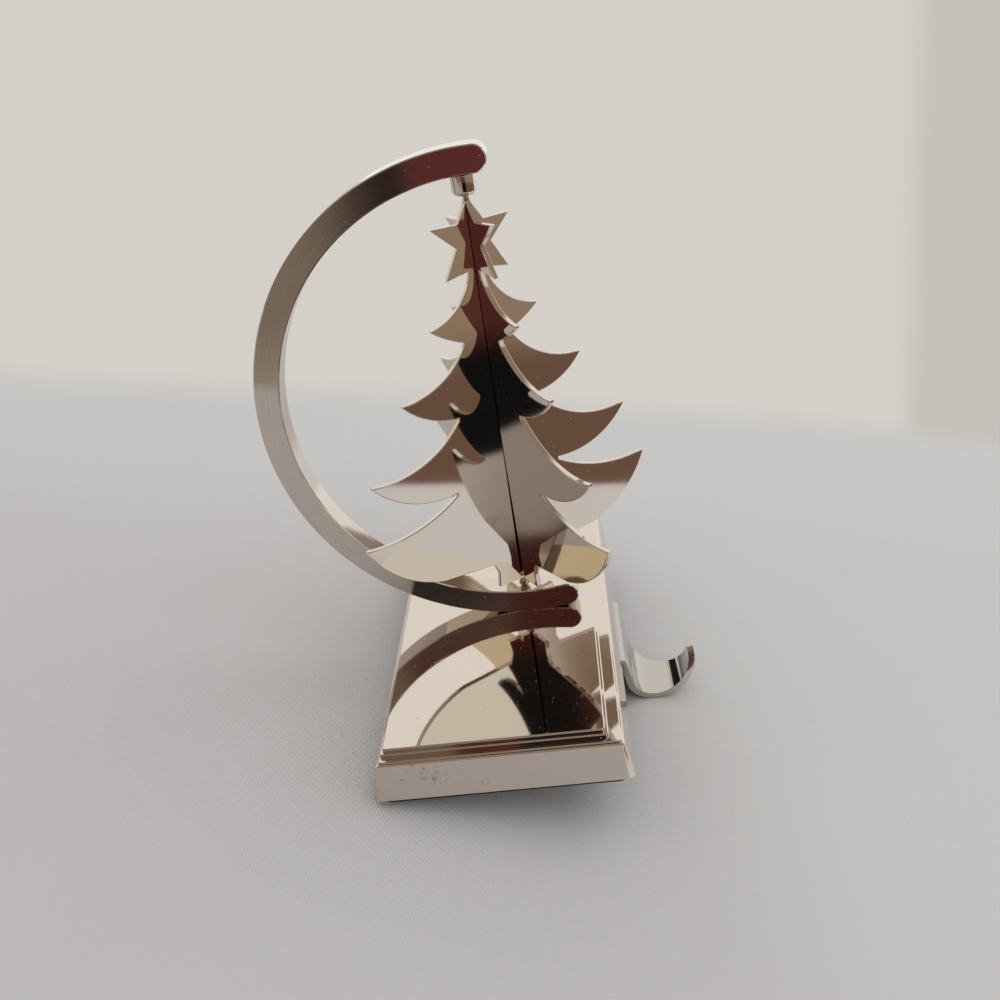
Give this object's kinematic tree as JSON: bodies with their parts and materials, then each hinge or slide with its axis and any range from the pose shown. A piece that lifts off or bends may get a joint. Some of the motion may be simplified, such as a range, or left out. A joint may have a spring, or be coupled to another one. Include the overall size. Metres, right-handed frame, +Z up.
{
  "type": "mantel stocking holder",
  "caption": "Chromed mantel stocking holder: weighted rectangular base with a tapered J hook beneath it and a C hoop in which a tree of crossed plates turns on pins.",
  "frame": {"origin": "centre of the pad's underside, which lies on the shelf", "axes": "+X from the shelf to the room, towards the hook; +Y along the shelf, along the base's long side; +Z up"},
  "size_m": [0.1094, 0.128, 0.1609],
  "materials": {
    "casting_chrome": "warm mirror plating, with fine casting pits",
    "hoop_chrome": "warm mirror plating, lightly streaked along the bar",
    "tree_chrome": "warm mirror plating",
    "hook_chrome": "warm mirror plating",
    "fitting_chrome": "warm mirror plating",
    "screw_steel": "plain zinc plated",
    "pad_black": "matt"
  },
  "bodies": {
    "stand": {"base_casting": "casting_chrome", "base_pad": "pad_black", "hoop": "hoop_chrome", "hoop_screws": "screw_steel", "top_collar": "fitting_chrome", "top_pin": "screw_steel", "bottom_bead": "fitting_chrome", "bottom_pin": "screw_steel", "stocking_hook": "hook_chrome", "hook_screws": "screw_steel"},
    "tree": {"tree_plate_a": "tree_chrome", "tree_plate_b": "tree_chrome"}
  },
  "joints": [
    {"name": "tree_spin", "type": "hinge", "parent": "stand", "child": "tree", "pos_m": [0.00724, 0, 0.077], "axis": [0, 0, 1], "continuous": true}
  ]
}
